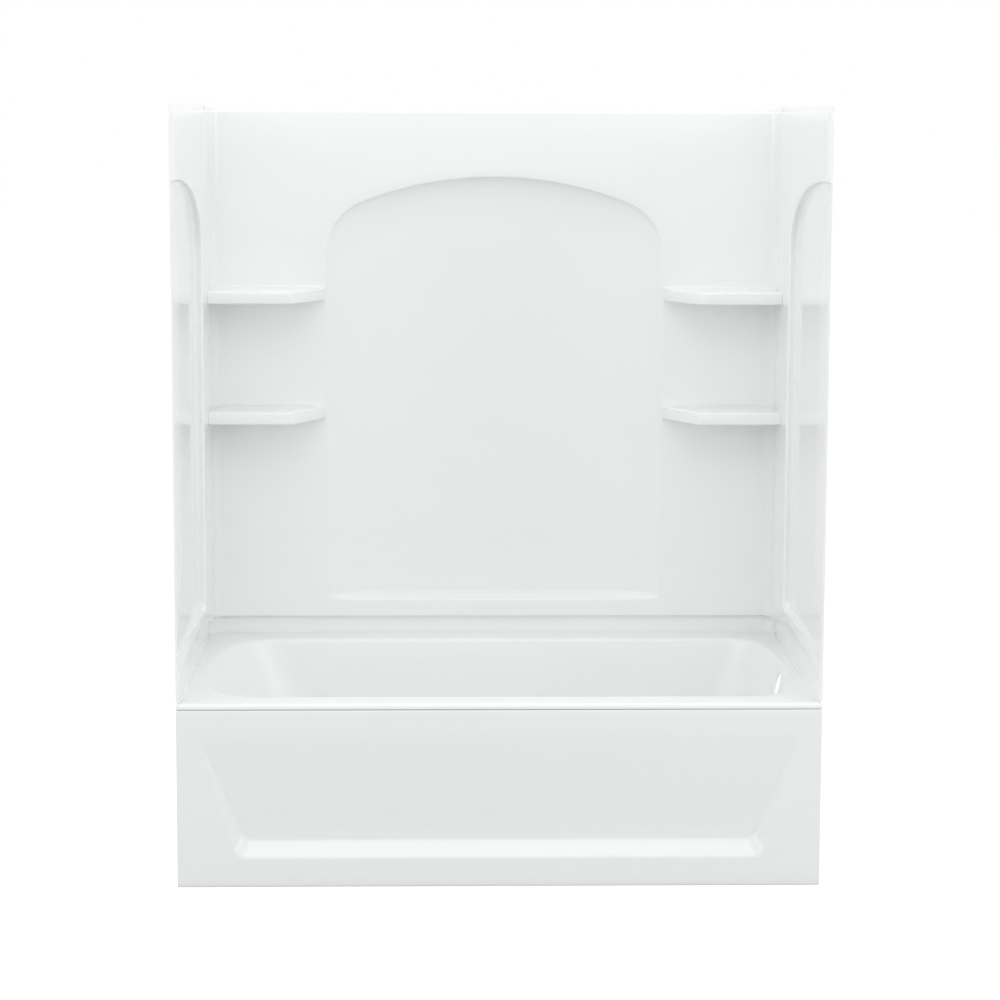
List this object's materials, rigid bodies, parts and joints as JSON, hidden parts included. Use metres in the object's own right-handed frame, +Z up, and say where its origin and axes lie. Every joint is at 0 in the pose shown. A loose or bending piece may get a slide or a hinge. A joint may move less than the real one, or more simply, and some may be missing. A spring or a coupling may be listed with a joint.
{
  "type": "alcove bath with shower surround",
  "caption": "White moulded alcove bath with skirt and three-piece shower surround, arched niche, corner shelves and recessed end walls.",
  "frame": {"origin": "middle of the footprint, on the floor", "axes": "+Z up, -Y out of the open front, +X towards the drain end"},
  "size_m": [1.524, 0.813, 1.842],
  "materials": {
    "bath_gloss": "high gloss moulded white",
    "apron_gloss": "high gloss moulded white",
    "wall_gloss": "high gloss moulded white",
    "sealant": "satin white",
    "board": "raw particle board",
    "timber": "sawn softwood",
    "zinc_steel": "bright zinc"
  },
  "bodies": {
    "root": {"bath_shell": "bath_gloss", "front_apron": "apron_gloss", "back_wall": "wall_gloss", "niche_panel": "wall_gloss", "corner_shelves": "wall_gloss", "wall_stiffeners": "timber", "left_end_wall": "wall_gloss", "right_end_wall": "wall_gloss", "back_deck_seal": "sealant", "left_deck_seal": "sealant", "right_deck_seal": "sealant", "left_corner_seal": "sealant", "right_corner_seal": "sealant", "base_board": "board", "bonding_pads": "sealant", "front_bearer": "timber", "middle_bearer": "timber", "rear_bearer": "timber", "bearer_screws": "zinc_steel", "rim_bar": "timber", "apron_clips": "zinc_steel", "clip_screws": "zinc_steel", "apron_batten": "timber", "apron_screws": "zinc_steel", "left_joint_bolts": "zinc_steel", "right_joint_bolts": "zinc_steel", "joint_washers": "zinc_steel", "joint_nuts": "zinc_steel"}
  },
  "joints": []
}
